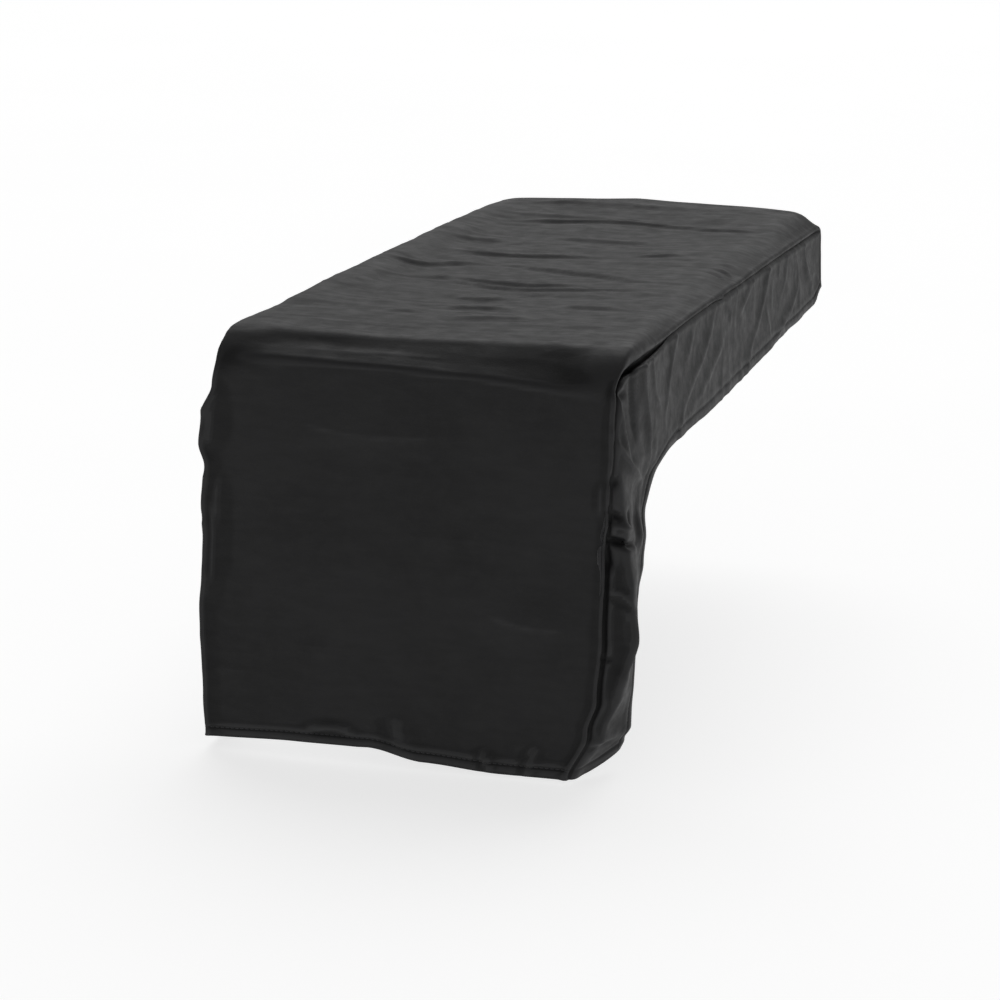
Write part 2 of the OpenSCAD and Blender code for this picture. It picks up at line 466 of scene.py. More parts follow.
def broad_shape():
    push = np.zeros_like(base)
    foot_x, foot_y = right_foot()
    fold_y, fold_z = flat_fold()
    near_seam = 3.0 * np.exp(-(from_seam / (7 * MM)) ** 2) * smooth(-8, -60, Z) * smooth(-300, -345, Y)
    push[:, 0] = left_bulge() + foot_x
    push[:, 1] = foot_y + fold_y - near_seam
    push[:, 2] = crown() + foot_lift() + fold_z
    return base + push * MM


points = broad_shape()


# ---- the drape: folds drawn one by one ----

def rounded(line, rounds=3):
    """The line with its corners cut, so that it bends softly."""
    line = np.asarray(line, float)
    for _ in range(rounds):
        if len(line) < 3:
            break
        cut = np.empty((2 * len(line) - 2, 3))
        cut[0::2] = 0.75 * line[:-1] + 0.25 * line[1:]
        cut[1::2] = 0.25 * line[:-1] + 0.75 * line[1:]
        line = np.vstack([line[:1], cut, line[-1:]])
    return line


def right_side(*yz):
    return [(half_mm + FLARE * max(SEAM_Z / MM - z, 0), y, z) for y, z in yz]


def left_side(*yz):
    return [(-x, y, z) for x, y, z in right_side(*yz)]


def front(*xz):
    return [(x, FRONT_Y / MM - 1.6, z) for x, z in xz]


def front_edge(*xz):
    """Points on the clean front fold, at those heights."""
    r = (FRONT_R + SKIN) / MM
    return [(x, (FRONT_Y + FRONT_R) / MM - math.sqrt(r * r - (z + FRONT_R / MM) ** 2), z) for x, z in xz]


def top(*xy):
    return [(x, y, 1.6) for x, y in xy]


lift = np.zeros(len(points))
clean_normal = normals(base)


def fold(line, height, width, steep=0.55, valley=0.4, start=0.0, end=0.0):
    """Raises a ridge along the line. One side is steeper, with a valley at its foot.

    start and end are how much of the height is left at the line's two ends."""
    line = rounded(line)
    reach = 4.5 * width
    low, high = line.min(axis=0) - reach, line.max(axis=0) + reach
    at = base / MM
    near = np.flatnonzero(((at > low) & (at < high)).all(axis=1))
    p, n = at[near], clean_normal[near]
    steps = np.linalg.norm(np.diff(line, axis=0), axis=1)
    total = np.concatenate([[0], np.cumsum(steps)])
    best = np.full(len(near), 1e9)
    signed = np.zeros(len(near))
    share = np.zeros(len(near))
    for k in range(len(steps)):
        way = (line[k + 1] - line[k]) / max(steps[k], 1e-9)
        t = np.clip((p - line[k]) @ way, 0, steps[k])
        gap = p - (line[k] + t[:, None] * way)
        d = np.linalg.norm(gap, axis=1)
        closer = d < best
        side = np.einsum("ij,ij->i", np.cross(way, gap), n)
        best = np.where(closer, d, best)
        signed = np.where(closer, np.where(side >= 0, d, -d), signed)
        share = np.where(closer, (total[k] + t) / total[-1], share)
    narrow = width * steep
    wide = np.where(signed > 0, width, narrow)
    ridge = 0.6 * np.exp(-(best / wide) ** 2) + 0.4 * np.exp(-best / (0.45 * wide))
    dip = valley * np.exp(-((signed + 1.9 * narrow) / (1.1 * narrow)) ** 2)
    fade = (start + (1 - start) * smooth(0, 0.3, share)) * (end + (1 - end) * smooth(1, 0.6, share))
    np.add.at(lift, near, (ridge - dip) * fade * height)


def skirt_fold(yz, height, width, **ends):
    """A fold on the right skirt, with a broad foot below it and hardly a valley."""
    fold(right_side(*yz), height, width, steep=2.1, valley=0.12, **ends)


def right_skirt_folds():
    skirt_fold([(-303, -12), (-304, -28), (-292, -50), (-283, -78), (-278, -100)], 2.5, 3.2,
               start=0.8, end=0.7)
    skirt_fold([(-280, -14), (-275, -29), (-268, -44)], 1.1, 2.4, start=0.7)
    skirt_fold([(-268, -44), (-250, -62)], 0.72, 2.9)
    skirt_fold([(-197, -12), (-209, -24), (-220, -38), (-232, -54), (-244, -76)], 1.8, 3.2, start=0.6)
    skirt_fold([(-74, -16), (-100, -38), (-136, -53), (-174, -69), (-188, -84)], 2, 3.8, start=0.5, end=0.6)
    skirt_fold([(-28, -36), (-52, -47), (-90, -63), (-130, -76), (-162, -82)], 1.6, 3.8, end=0.5)
    skirt_fold([(-46, -9), (-22, -18), (-14, -28), (-17, -40)], 1.9, 2.6, start=0.6)
    skirt_fold([(66, -14), (34, -27), (4, -37)], 1.4, 2.9, start=0.7)
    skirt_fold([(130, -12), (110, -36), (84, -54), (58, -68), (46, -84)], 1.9, 3.2, start=0.7, end=0.5)
    skirt_fold([(116, -44), (134, -70), (128, -84)], 1.1, 2.9)
    skirt_fold([(243, -22), (254, -44), (228, -62), (186, -74), (138, -83), (114, -86)], 1.7, 3.2, start=0.6)
    skirt_fold([(279, -14), (280, -32), (302, -52), (326, -70)], 1.9, 3.2, start=0.5)
    skirt_fold([(255, -48), (258, -74)], 0.84, 2.9)
    skirt_fold([(205, -16), (196, -34), (168, -52)], 0.96, 3.5, start=0.5)
    skirt_fold([(-140, -14), (-156, -30), (-176, -46)], 0.96, 4.1, start=0.5)
    skirt_fold([(10, -14), (-4, -30)], 0.84, 2.4, start=0.8)
    skirt_fold([(176, -14), (166, -28)], 0.84, 2.4, start=0.8)


def right_corner_folds():
    fold(right_side((-352, -30), (-346, -46), (-337, -66), (-326, -86)), 3.0, 3.5, steep=1.6, valley=0,
         start=0.4)
    fold(right_side((-330, -14), (-326, -40), (-314, -80)), -2.6, 6, steep=1.0, valley=0, start=0.8)
    fold(right_side((-356, -56), (-345, -72), (-322, -89), (-286, -106)), 3.0, 3.5, steep=1.5, valley=0.1,
         start=0.6, end=0.7)
    fold(right_side((-358, -24), (-346, -30), (-334, -30)), -3.5, 3.5, steep=0.9, valley=0, start=1)
    fold(right_side((-356, -92), (-346, -96)), -3.5, 5, steep=0.9, valley=0, start=1)
    fold(right_side((-357, -113), (-345, -121)), -4.5, 3.2, steep=0.9, valley=0, start=1, end=0.6)
    fold(right_side((-357, -127), (-340, -129), (-318, -134)), 3.0, 5, steep=0.4, valley=0, start=0.7)
    fold(right_side((-359, -136), (-340, -141), (-308, -147)), -8.0, 3.4, steep=0.7, valley=0,
         start=1, end=0.2)
    fold(right_side((-356, -141), (-352, -150), (-352, -164)), -7.0, 4, steep=0.9, valley=0, start=1)
    fold(right_side((-328, -116), (-332, -132)), -1.8, 3.5, steep=0.9, valley=0)
    fold(right_side((-300, -118), (-292, -140), (-300, -160)), 2.4, 7, steep=0.8)
    fold(right_side((-357, -176), (-340, -180), (-326, -192)), 1.8, 4.5, start=0.6)
    fold(right_side((-326, -188), (-324, -221), (-338, -250), (-346, -275)), 2.4, 8, steep=0.8)
    fold(right_side((-312, -200), (-308, -232), (-316, -262)), -1.6, 5, steep=0.9, valley=0)
    fold(right_side((-356, -298), (-335, -296), (-312, -300)), 2.0, 4.5, start=0.5)
    fold(right_side((-356, -228), (-345, -232)), -3.0, 3, steep=0.9, valley=0, start=1)
    fold(front((158, -14), (157, -34), (157, -62)), 1.6, 3, valley=0.2, start=0.6)
    fold(front((152, -92), (151, -124)), 0.8, 6, valley=0)


def front_folds():
    fold(front_edge((-138, -16), (-70, -18), (10, -20), (80, -23), (122, -27), (148, -18)), 0.8, 2.6,
         steep=0.9, valley=0.1)
    fold(front_edge((-120, -7), (-50, -9), (-10, -7), (60, -11)), 0.5, 3.5, valley=0.1)
    fold(front((-159, -96), (-161, -130), (-162, -165), (-166, -225)), 2.2, 4.5)
    fold(front((-152, -100), (-155, -148), (-157, -180), (-161, -225)), 1.8, 4.5)
    fold(front((-158, -40), (-154, -70), (-157, -96)), 2.0, 6)
    fold(front((-92, -313), (-60, -311), (-49, -317)), 2.2, 5)
    fold(front((58, -310), (74, -326)), 2.2, 5)
    fold(front((110, -300), (118, -330)), 1.6, 8)
    fold(front((-20, -290), (-10, -327)), 1.2, 12)
    fold(front((-120, -60), (-40, -75), (60, -66)), 0.8, 18)
    fold(front((40, -200), (100, -215), (150, -205)), 0.8, 20)


def top_folds():
    fold(top((-150, -325), (-60, -328), (40, -327), (135, -322)), 0.9, 6, steep=0.9, valley=0)
    fold(top((-136, 223), (-60, 233), (16, 233), (74, 228), (132, 238)), 2.4, 7)
    fold(top((60, 222), (104, 226), (140, 232)), 1.8, 6)
    fold(top((-150, 262), (-22, 246), (60, 256)), 1.35, 8)
    fold(top((-150, 326), (-42, 304), (56, 303), (130, 330)), 1.2, 10)
    fold(top((-120, 60), (-60, 47), (-10, 62), (44, 67)), 2.4, 7)
    fold(top((50, 78), (76, 82), (104, 90)), 1.7, 7)
    fold(top((-150, -18), (-110, -24), (-76, 6), (-46, 7)), 2.55, 7)
    fold(top((-129, -82), (-78, -67), (-20, -78), (30, -77), (78, -58)), 2.2, 7)
    fold(top((-51, 16), (13, -16), (50, -24), (93, -55), (131, -30)), 2.3, 7)
    fold(top((-87, -64), (-13, -105), (37, -99), (100, -84), (133, -78)), 2.1, 6)
    fold(top((-40, -152), (-10, -158), (26, -141)), 2.2, 8)
    fold(top((-40, -208), (0, -196), (48, -204)), 2.2, 8)
    fold(top((50, -180), (90, -170), (125, -176)), 1.7, 8)
    fold(top((-20, -256), (30, -238), (82, -240)), 1.8, 9)
    fold(top((-70, -232), (-30, -226)), 1.4, 8)
    fold(top((90, -262), (125, -250)), 1.0, 9)
    fold(top((-60, 150), (20, 142), (90, 156)), 1.65, 9)
    fold(top((-130, 118), (-70, 128)), 1.65, 8)
    fold(top((132, 40), (148, 32), (160, 12)), 2.1, 4)
    fold(top((132, 22), (146, 10), (158, -8)), 1.8, 4)
    fold(top((135, 60), (150, 54)), 1.2, 5)


def left_skirt_folds():
    fold(left_side((-322, -12), (-316, -34), (-302, -66), (-290, -98)), 2.52, 5.5, start=0.7, end=0.5)
    fold(left_side((-250, -12), (-262, -34), (-274, -52)), 1.54, 5, start=0.6)
    fold(left_side((-170, -14), (-188, -32), (-214, -58), (-226, -84)), 1.96, 6, start=0.6, end=0.5)
    fold(left_side((-96, -12), (-112, -30), (-150, -56)), 1.82, 6, start=0.6)
    fold(left_side((-20, -14), (-34, -36), (-70, -60), (-92, -84)), 2.1, 6, start=0.6, end=0.4)
    fold(left_side((40, -12), (28, -30)), 1.26, 4.5, start=0.7)
    fold(left_side((104, -14), (88, -36), (52, -62), (40, -84)), 1.96, 6, start=0.6)
    fold(left_side((180, -14), (170, -36), (140, -58)), 1.68, 6, start=0.6)
    fold(left_side((262, -14), (254, -40), (216, -64), (190, -80)), 1.96, 6, start=0.6)
    fold(left_side((300, -16), (310, -44), (332, -68)), 1.82, 6, start=0.5)
    fold(left_side((-352, -60), (-338, -76), (-306, -96)), 2.24, 5.5, start=0.6)
    fold(left_side((-355, -112), (-338, -120), (-310, -128)), 1.68, 6, start=0.6)
    fold(left_side((-356, -150), (-340, -160), (-306, -168)), 1.82, 6, start=0.6)
    fold(left_side((-330, -180), (-326, -230), (-336, -280)), 1.68, 8, steep=0.8)


def rear_face(*xz):
    return [(x, REAR_Y / MM + 1.6, z) for x, z in xz]


def rear_folds():
    fold(rear_face((-120, -22), (-110, -50), (-114, -76)), 1.8, 9, steep=0.8)
    fold(rear_face((-52, -24), (-44, -52), (-50, -76)), 1.4, 11, steep=0.8)
    fold(rear_face((36, -24), (46, -50), (40, -76)), 1.8, 10, steep=0.8)
    fold(rear_face((104, -22), (112, -46), (106, -76)), 1.5, 9, steep=0.8)
    fold(rear_face((148, -20), (140, -48)), 1.4, 6)
    fold(rear_face((-148, -20), (-142, -44)), 1.4, 6)


right_skirt_folds()
right_corner_folds()
front_folds()
top_folds()
left_skirt_folds()
rear_folds()


# ---- the drape: seams, hems and small wrinkles ----

def seam_depth_share():
    """How open the groove is along the seams.

    On the right it is a pocket at the front corner, nearly shut below it, and open again lower down."""
    right_front = ease(Z, [-330, -300, -265, -165, -135, -112, -62, -36, -24, -10],
                       [0.2, 0.4, 1.2, 1.3, 1.2, 0.3, 0.05, 0.3, 1.8, 1.5])
    left_front = ease(Z, [-330, -40, -10], [0.5, 0.6, 1.2])
    front_share = np.where(X > 0, right_front, left_front)
    top_share = 0.8 + 0.3 * smooth(-220, -330, Y)
    in_front = smooth(-318, -340, Y)
    share = top_share + (front_share - top_share) * in_front
    share = share * (1 - 0.8 * smooth(325, 350, Y))
    return share * smooth(0, 7, from_hem / MM)


groove_share = seam_depth_share()


def seam_shape():
    """A sharp groove on each seam, and puckers that fade away from it."""
    d = from_seam / MM
    groove = -3.2 * groove_share * bump(d, 0, 1.8)
    beside = 0.5 * bump(d, 5.0, 2.2) * smooth(0, 8, from_hem / MM)
    along_seam = np.column_stack([station, np.zeros(len(points)), np.where(X > 0, 1.0, 0.0)])
    tight = noise(along_seam, 13 * MM, 11) + 0.6 * noise(along_seam, 7 * MM, 12)
    wide = noise(along_seam + 3.0, 26 * MM, 13)
    where = 0.55 + 0.45 * noise(along_seam + 7.0, 90 * MM, 14)
    below = np.where(in_strip, 0.35, 1.0)
    pucker = 0.55 * tight * np.exp(-d / 9) + 0.9 * wide * np.exp(-d / 22) * below
    return groove + beside + pucker * where * smooth(0, 2.5, d)


def hem_shape():
    """A turned hem: a full edge, a groove at its stitches, and small waves along it."""
    h = from_hem / MM
    edge = np.column_stack([base[:, 0] * 0.4, base[:, 1], base[:, 2]])
    wave = noise(edge, 16 * MM, 21) * 0.5 + noise(edge, 40 * MM, 22) * 1.0
    roll = 0.55 * smooth(0, 3, h) * smooth(8, 5.5, h)
    groove = -0.45 * np.exp(-((h - HEM_ROW / MM) / 1.1) ** 2)
    step = 0.4 * smooth(HEM_W / MM + 2.5, HEM_W / MM - 1, h) * smooth(8, 9.5, h)
    inside = smooth(0, 9, from_seam / MM)
    return (roll + groove + step) * inside + wave * np.exp(-h / 16)


def wrinkles():
    """Fine wrinkles that run across the top, down the sides, and hardly mark the front."""
    stretched = base * [0.22, 1, 1]
    across = 1 - 2.4 * np.abs(noise(stretched, 24 * MM, 31))
    fine = noise(stretched, 10 * MM, 32)
    soft = noise(base * [0.5, 1, 1], 38 * MM, 33)
    on_top = smooth(-20, -4, Z)
    on_front = smooth(-330, -350, Y) * (1 - on_top)
    amount = 0.7 * on_top + 0.14 * on_front + 0.3 * (1 - on_top) * (1 - on_front)
    amount = amount * (1 - 0.6 * on_top * smooth(36, 20, from_seam / MM))
    return amount * across + amount * 0.5 * fine + (0.3 + 0.5 * on_top) * soft * (1 - 0.4 * on_front)


direction = normals(points)
calm_seam = 0.25 + 0.75 * smooth(0, 5, from_seam / MM)
relief = lift * calm_seam + seam_shape() + hem_shape() + wrinkles() * calm_seam
points = points + direction * relief[:, None] * MM


def neighbour_sum(values):
    """The sum of each point's neighbours, where one that two faces share counts twice."""
    total = np.zeros_like(values)
    for i in range(4):
        a, b = all_faces[:, i], all_faces[:, (i + 1) % 4]
        np.add.at(total, a, values[b])
        np.add.at(total, b, values[a])
    return total


def bend(points, rounds):
    """How much each point stands out from its neighbours, smoothed over the cloth."""
    count = neighbour_sum(np.ones(len(points)))
    out = np.einsum("ij,ij->i", points - neighbour_sum(points) / count[:, None], normals(points))
    for _ in range(rounds):
        out = 0.5 * out + 0.5 * neighbour_sum(out) / count
    return out


def soft_normals(points, rounds):
    """Normals evened out over the cloth, so that the inner layers don't cross in tight creases."""
    n = normals(points)
    for _ in range(rounds):
        total = 2 * n + neighbour_sum(n)
        n = total / np.maximum(np.linalg.norm(total, axis=1), 1e-12)[:, None]
    return n


# Signed bend of the cloth. The vinyl uses it to paint crests paler (partly wear, partly painted highlight)
# and valleys darker (painted shade).
crest_wear_and_shade = np.clip(bend(points, 2) / (0.05 * MM), -1, 1)
normal = soft_normals(points, 3)
# Distance from the seam that the vinyl uses to paint shade into the seam grooves. 3 mm is added where the
# groove is shut, so less shade is painted there.
seam_shade_mm = from_seam / MM + 3 * (1 - np.clip(groove_share / 0.7, 0, 1))    # more where the groove is shut


# ---- pieces of cloth ----

def add_object(name, data):
    obj = bpy.data.objects.new(name, data)
    bpy.context.scene.collection.objects.link(obj)
    return obj


def add_mesh(name, verts, faces, node):
    mesh = bpy.data.meshes.new(name)
    mesh.from_pydata([tuple(v) for v in verts.tolist()], [], faces)
    mesh.polygons.foreach_set("use_smooth", [True] * len(mesh.polygons))
    mesh.update()
    piece = add_object(name, mesh)
    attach(piece, "root")
    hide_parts(node)
    return piece


def shell(node, faces, outer, inner):
    """A closed layer of cloth over those faces, between two depths below the cover's outside."""
    used, index = np.unique(faces, return_inverse=True)
    index = index.reshape(faces.shape)
    n = len(used)
    verts = np.vstack([points[used] - normal[used] * outer, points[used] - normal[used] * inner])
    pairs = np.vstack([index[:, [i, (i + 1) % 4]] for i in range(4)])
    keys = pairs[:, 0] * n + pairs[:, 1]
    back = pairs[:, 1] * n + pairs[:, 0]
    rim = pairs[~np.isin(keys, back)]
    walls = np.column_stack([rim[:, 1], rim[:, 0], rim[:, 0] + n, rim[:, 1] + n])
    every = np.vstack([index, index[:, ::-1] + n, walls])
    piece = add_mesh("cover_" + node, verts, every.tolist(), node)
    for label, values in (("crest_wear_and_shade", crest_wear_and_shade), ("seam_shade_mm", seam_shade_mm)):
        layer = piece.data.attributes.new(label, "FLOAT", "POINT")
        layer.data.foreach_set("value", np.tile(values[used], 2).astype(np.float32))
    return piece


def block(ids, rows, columns, flip):
    return quads(ids[rows][:, columns], flip)


# Depths below the cover's outside, with a hair's gap between the layers
GAP = 0.05 * MM
lining_in = VINYL_T + LINING_T
tape_in = lining_in + GAP + TAPE_T

# Rows and columns of the grids
every_row = slice(None)
hem_rows = slice(0, FACING_LINE + 1)
rear_hem_rows = slice(N_V - 1 - FACING_LINE, None)
side_hem = slice(side_lines - 1 - FACING_LINE, None)
side_tape = slice(0, TAPE_LINE + 1)

main_panel = shell("main_panel", strip_faces, 0, VINYL_T)
main_lining = shell("main_lining", strip_faces, VINYL_T + GAP, lining_in)
front_facing = shell("front_hem_facing", block(strip_ids, hem_rows, every_row, False),
                     lining_in + GAP, tape_in)
rear_facing = shell("rear_hem_facing", block(strip_ids, rear_hem_rows, every_row, False),
                    lining_in + GAP, tape_in)


def seam_tape(side, ids, flip):
    """A tape over the inside of a seam: from the front foot, over the top and down the rear corner."""
    column = side_tape if side == "left" else slice(N_U - 1 - TAPE_LINE, None)
    long_part = block(strip_ids, slice(FACING_LINE, N_V - FACING_LINE), column, False)
    down_part = block(ids, slice(FACING_LINE, None), side_tape, flip)
    rear_part = block(ids, slice(CORNER_V - TAPE_LINE, None),
                      slice(TAPE_LINE, side_lines - FACING_LINE), flip)
    faces = np.vstack([long_part, down_part, rear_part])
    return shell(side + "_seam_tape", faces, lining_in + GAP, tape_in)


def side_pieces(side, ids, flip):
    faces = quads(ids, flip)
    panel = shell(side + "_side_panel", faces, 0, VINYL_T)
    lining = shell(side + "_side_lining", faces, VINYL_T + GAP, lining_in)
    facing = shell(side + "_arch_facing", block(ids, every_row, side_hem, flip),
                   lining_in + GAP, tape_in)
    return panel, lining, facing, seam_tape(side, ids, flip)


left_panel, left_lining, left_facing, left_tape = side_pieces("left", left_ids, True)
right_panel, right_lining, right_facing, right_tape = side_pieces("right", right_ids, False)


# ---- stitches ----

# One stitch, pinched at both ends where it dives into the cloth: each ring's place along it and its size
STITCH_RINGS = [(-1.0, 0.25), (-0.8, 0.75), (-0.35, 1.0), (0.35, 1.0), (0.8, 0.75), (1.0, 0.25)]
STITCH_LENGTH = 3.3 * MM
STITCH_SPACING = 4.1 * MM
THREAD_R = 0.36 * MM
THREAD_SIDES = 6


def stitch_row(name, ids, depth):
    """A row of stitches along those points, lying at that depth below the outside."""
    line = points[ids] - normal[ids] * depth
    steps = np.concatenate([[0], np.cumsum(np.linalg.norm(np.diff(line, axis=0), axis=1))])
    middle = np.linspace(3 * MM, steps[-1] - 3 * MM, int((steps[-1] - 4 * MM) / STITCH_SPACING))

    def sample(values, where):
        return np.column_stack([np.interp(where, steps, values[:, i]) for i in range(3)])

    at = sample(line, middle)
    ahead = sample(line, middle + MM) - sample(line, middle - MM)
    up = sample(normal[ids], middle) * (-1 if depth > 0 else 1)
    verts = []
    faces = []
    sides = THREAD_SIDES
    for k in range(len(middle)):
        way = unit(ahead[k])
        out = unit(up[k] - way * (up[k] @ way))
        across = np.cross(way, out)
        way = unit(way + across * 0.06 * (1 if k % 2 else 0.6))
        first = len(verts)
        for along_share, wide in STITCH_RINGS:
            lowered = -0.16 * MM * abs(along_share) ** 3
            c = at[k] + way * along_share * STITCH_LENGTH / 2 + out * (0.12 * MM + lowered)
            for a in range(sides):
                angle = 2 * math.pi * a / sides
                ring = across * math.cos(angle) + out * math.sin(angle) * 0.8
                verts.append(c + ring * THREAD_R * wide)
        rings = len(STITCH_RINGS)
        for r in range(rings - 1):
            for a in range(sides):
                b = (a + 1) % sides
                low, high = first + r * sides, first + (r + 1) * sides
                faces.append((low + a, low + b, high + b, high + a))
        faces.append(tuple(first + a for a in reversed(range(sides))))
        faces.append(tuple(first + (rings - 1) * sides + a for a in range(sides)))
    return add_mesh("cover_" + name + "_stitches", np.array(verts), faces, name + "_stitching")


# The rows stop short of the cover's corners.
side_row = side_lines - 1 - ROW_LINE
seam_part = slice(FACING_LINE + 2, -6)
threads = [
    stitch_row("front_hem", strip_ids[ROW_LINE, 2:-2], 0),
    stitch_row("rear_hem", strip_ids[N_V - 1 - ROW_LINE, 6:-6], 0),
    stitch_row("left_arch", left_ids[2:-7, side_row], 0),
    stitch_row("right_arch", right_ids[2:-7, side_row], 0),
    stitch_row("left_seam", left_ids[seam_part, TAPE_ROW_LINE], tape_in),
    stitch_row("right_seam", right_ids[seam_part, TAPE_ROW_LINE], tape_in),
]


# ---- materials ----

class Nodes:
    """Adds nodes to the tree of a material, or of the world, in short calls."""

    def __init__(self, name, owner=None):
        self.owner = owner or bpy.data.materials.new(name)
        self.owner.use_nodes = True
        self.tree = self.owner.node_tree
        self.shader = self.tree.nodes.get("Principled BSDF")

    def add(self, kind, **settings):
        node = self.tree.nodes.new(kind)
        for key, value in settings.items():
            setattr(node, key, value)
        return node

    def link(self, source, target):
        self.tree.links.new(source, target)

    def feed(self, socket, source):
        self.link(source, self.shader.inputs[socket])

    def set(self, socket, value):
        self.shader.inputs[socket].default_value = value

    def place(self, stretch=(1, 1, 1)):
        mapping = self.add("ShaderNodeMapping")
        mapping.inputs["Scale"].default_value = stretch
        self.link(self.add("ShaderNodeTexCoord").outputs["Object"], mapping.inputs["Vector"])
        return mapping.outputs["Vector"]

    def noise(self, place, scale, detail=3.0, roughness=0.5):
        node = self.add("ShaderNodeTexNoise")
        node.inputs["Scale"].default_value = scale
        node.inputs["Detail"].default_value = detail
        node.inputs["Roughness"].default_value = roughness
        self.link(place, node.inputs["Vector"])
        return node.outputs["Fac"]

    def value(self, source, low, high, to_low=0.0, to_high=1.0):
        node = self.add("ShaderNodeMapRange", clamp=True)
        node.interpolation_type = "SMOOTHSTEP"
        for key, number in (("From Min", low), ("From Max", high), ("To Min", to_low), ("To Max", to_high)):
            node.inputs[key].default_value = number
        self.link(source, node.inputs["Value"])
        return node.outputs["Result"]

    def maths(self, operation, a, b):
        node = self.add("ShaderNodeMath", operation=operation)
        for socket, item in zip(node.inputs, (a, b)):
            if isinstance(item, (int, float)):
                socket.default_value = item
            else:
                self.link(item, socket)
        return node.outputs["Value"]

    def mix(self, share, a, b):
        node = self.add("ShaderNodeMix", data_type="RGBA")
        self.link(share, node.inputs["Factor"])
        for socket, item in zip([s for s in node.inputs if s.type == "RGBA"], (a, b)):
            if isinstance(item, tuple):
                socket.default_value = (*item, 1)
            else:
                self.link(item, socket)
        return next(s for s in node.outputs if s.type == "RGBA")

    def attribute(self, name):
        return self.add("ShaderNodeAttribute", attribute_name=name).outputs["Fac"]

    def bump(self, height, distance, strength, before=None):
        node = self.add("ShaderNodeBump")
        node.inputs["Strength"].default_value = strength
        node.inputs["Distance"].default_value = distance
        self.link(height, node.inputs["Height"])
        if before is not None:
            self.link(before, node.inputs["Normal"])
        return node.outputs["Normal"]


def vinyl_material():
    """Satin black vinyl: pebbled grain, faint streaks and clouds, crests painted paler (partly wear, partly
    painted highlight), and painted shade in the valleys and seam grooves.
    """
    m = Nodes("vinyl")
    place = m.place()
    grain = m.add("ShaderNodeTexVoronoi", feature="SMOOTH_F1")
    grain.inputs["Scale"].default_value = 950
    grain.inputs["Smoothness"].default_value = 0.6
    m.link(place, grain.inputs["Vector"])
    patches = m.noise(place, 9, 4, 0.6)
    clouds = m.noise(place, 70, 4, 0.6)
    streaks = m.noise(m.place((0.25, 1, 1)), 160, 4, 0.65)
    # Paler crests are partly wear and partly a painted highlight; darker valleys are painted shade.
    crest_wear_and_highlight = m.value(m.attribute("crest_wear_and_shade"), 0.1, 1.0, 0.0, 0.55)
    valley = m.value(m.attribute("crest_wear_and_shade"), -1.0, -0.15, 0.55, 0.0)
    tone = m.mix(m.value(patches, 0.35, 0.65), (0.0125, 0.0125, 0.0130), (0.0175, 0.0175, 0.0181))
    tone = m.mix(m.value(clouds, 0.4, 0.7, 0, 0.5), tone, (0.022, 0.022, 0.0225))
    tone = m.mix(crest_wear_and_highlight, tone, (0.038, 0.038, 0.039))
    tone = m.mix(valley, tone, (0.006, 0.006, 0.0062))
    # Painted shade in the seam grooves: near-black close to a seam, less where the groove is shut.
    tone = m.mix(m.value(m.attribute("seam_shade_mm"), 0.9, 2.4, 0.9, 0.0), tone, (0.002, 0.002, 0.002))
    m.feed("Base Color", tone)
    rough = m.maths("ADD", m.value(clouds, 0.3, 0.7, 0.53, 0.62), m.value(streaks, 0.3, 0.7, -0.04, 0.05))
    m.feed("Roughness", rough)
    normal_out = m.bump(grain.outputs["Distance"], 0.00018, 0.35)
    normal_out = m.bump(streaks, 0.0006, 0.22, normal_out)
    normal_out = m.bump(clouds, 0.0025, 0.12, normal_out)
    m.feed("Normal", normal_out)
    m.set("Specular IOR Level", 0.2)
    return m.owner


WAVES_PER_SCALE = 3.18      # bands in a metre of a wave texture whose scale is 1


def woven_material(name, dark, light, threads_per_m, depth):
    """A matte plain weave, drawn by waves along the three axes, with an uneven tone."""
    m = Nodes(name)
    place = m.place()
    waves = []
    for axis in ("X", "Y", "Z"):
        wave = m.add("ShaderNodeTexWave", wave_type="BANDS", bands_direction=axis)
        wave.inputs["Scale"].default_value = threads_per_m / WAVES_PER_SCALE
        wave.inputs["Distortion"].default_value = 1.2
        wave.inputs["Detail Scale"].default_value = 2.0
        m.link(place, wave.inputs["Vector"])
        waves.append(wave.outputs["Fac"])
    weave = m.maths("MAXIMUM", m.maths("MAXIMUM", waves[0], waves[1]), waves[2])
    uneven = m.noise(place, 30, 4, 0.6)
    tone = m.mix(m.value(weave, 0.2, 1.0), dark, light)
    tone = m.mix(m.value(uneven, 0.35, 0.7, 0, 0.35), tone, tuple(0.7 * c for c in light))
    m.feed("Base Color", tone)
    m.feed("Roughness", m.value(uneven, 0.3, 0.7, 0.78, 0.9))
    m.feed("Normal", m.bump(uneven, 0.001, 0.2, m.bump(weave, depth, 0.6)))
    m.set("Specular IOR Level", 0.12)
    m.set("Sheen Weight", 0.2)
    return m.owner


def thread_material():
    """Twisted polyester thread with a soft gloss."""
    m = Nodes("thread")
    twist = m.add("ShaderNodeTexWave", wave_type="BANDS", bands_direction="DIAGONAL")
    twist.inputs["Scale"].default_value = 420
    twist.inputs["Distortion"].default_value = 2.0
    m.link(m.place(), twist.inputs["Vector"])
    tone = m.mix(twist.outputs["Fac"], (0.014, 0.014, 0.015), (0.032, 0.032, 0.034))
    m.feed("Base Color", tone)
    m.feed("Normal", m.bump(twist.outputs["Fac"], 0.0002, 0.5))
    m.set("Roughness", 0.55)
    return m.owner


def dress(objects, material):
    for piece in objects:
        piece.data.materials.clear()
        piece.data.materials.append(material)


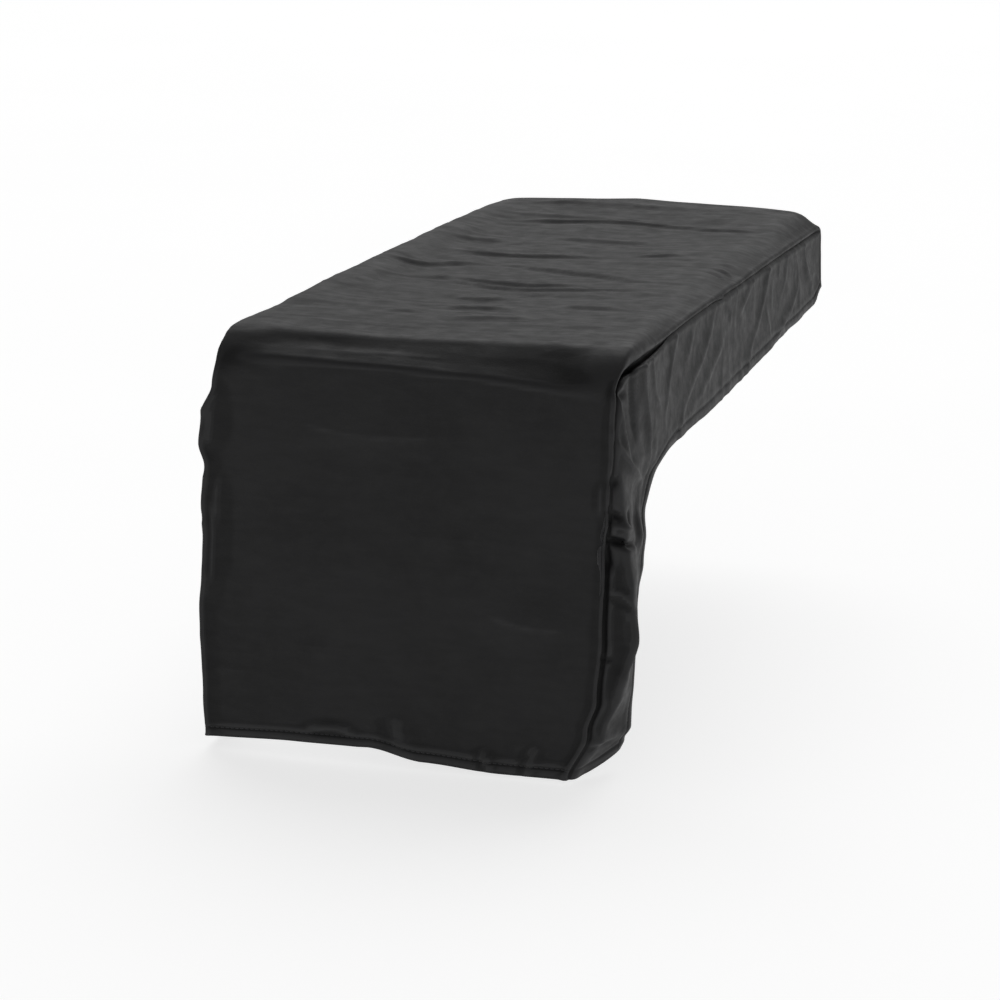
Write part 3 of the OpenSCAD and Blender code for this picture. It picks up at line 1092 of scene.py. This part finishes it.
lining_cloth = woven_material("backing_cloth", (0.022, 0.022, 0.024), (0.060, 0.060, 0.063), 1400, 0.0003)
tape_cloth = woven_material("tape", (0.016, 0.016, 0.017), (0.042, 0.042, 0.044), 900, 0.0004)
dress([main_panel, front_facing, rear_facing, left_panel, left_facing, right_panel, right_facing],
      vinyl_material())
dress([main_lining, left_lining, right_lining], lining_cloth)
dress([left_tape, right_tape], tape_cloth)
dress(threads, thread_material())


# ---- camera, floor and light ----

CAMERA_PLACE = (0.7211, -2.4234, 0.4346)
CAMERA_DOWN = 14.18     # in degrees, as is the turn
CAMERA_TURN = 17.56
FLOOR_HALF = 14
FLOOR_GLOW = 0.72
BACK_GLOW = 0.3         # the low glow behind the cover
SURROUND = 0.18         # the light from everywhere else
SUN_PLACE = (-0.3, 1.9, 2.3)
SUN_STRENGTH = 1.2
SUN_SPREAD = 60         # in degrees


def camera():
    data = bpy.data.cameras.new("camera")
    data.lens = 108
    data.sensor_width = 36
    data.clip_end = 50
    cam = add_object("camera", data)
    cam.location = CAMERA_PLACE
    cam.rotation_euler = (math.radians(90 - CAMERA_DOWN), 0, math.radians(CAMERA_TURN))
    bpy.context.scene.camera = cam


def floor():
    mesh = bpy.data.meshes.new("floor")
    z = FRONT_FOOT_Z - 5 * MM
    corners = [(x * FLOOR_HALF, y * FLOOR_HALF, z) for x, y in ((-1, -1), (1, -1), (1, 1), (-1, 1))]
    mesh.from_pydata(corners, [], [(0, 1, 2, 3)])
    obj = add_object("floor", mesh)
    m = Nodes("floor")
    tone = m.mix(m.noise(m.place(), 1.5), (0.49, 0.49, 0.49), (0.53, 0.53, 0.53))
    m.feed("Base Color", tone)
    m.set("Roughness", 0.9)
    m.set("Emission Color", (1, 1, 1, 1))
    m.set("Emission Strength", FLOOR_GLOW)
    mesh.materials.append(m.owner)


def sun():
    data = bpy.data.lights.new("overhead", "SUN")
    data.energy = SUN_STRENGTH
    data.angle = math.radians(SUN_SPREAD)
    obj = add_object("overhead", data)
    obj.location = SUN_PLACE
    obj.rotation_euler = (-Vector(SUN_PLACE)).to_track_quat("-Z", "Y").to_euler()


def studio():
    """A white backdrop for the camera. As a light, a dim surround with a low glow behind the cover."""
    w = Nodes("studio", bpy.data.worlds.new("studio"))
    surround = w.tree.nodes["Background"]
    way = w.add("ShaderNodeSeparateXYZ")
    w.link(w.add("ShaderNodeTexCoord").outputs["Generated"], way.inputs[0])
    behind = w.value(way.outputs["Y"], 0.1, 0.8)
    low = w.value(way.outputs["Z"], 0.2, 0.55, 1, 0)
    glow = w.maths("MULTIPLY", w.maths("MULTIPLY", behind, low), BACK_GLOW)
    w.link(w.maths("ADD", glow, SURROUND), surround.inputs["Strength"])
    surround.inputs["Color"].default_value = (1, 1, 1, 1)
    backdrop = w.add("ShaderNodeBackground")
    backdrop.inputs["Color"].default_value = (1, 1, 1, 1)
    mix = w.add("ShaderNodeMixShader")
    w.link(w.add("ShaderNodeLightPath").outputs["Is Camera Ray"], mix.inputs[0])
    w.link(surround.outputs[0], mix.inputs[1])
    w.link(backdrop.outputs[0], mix.inputs[2])
    w.link(mix.outputs[0], w.tree.nodes["World Output"].inputs["Surface"])
    bpy.context.scene.world = w.owner
    bpy.context.scene.view_settings.view_transform = "Standard"


camera()
floor()
studio()
sun()
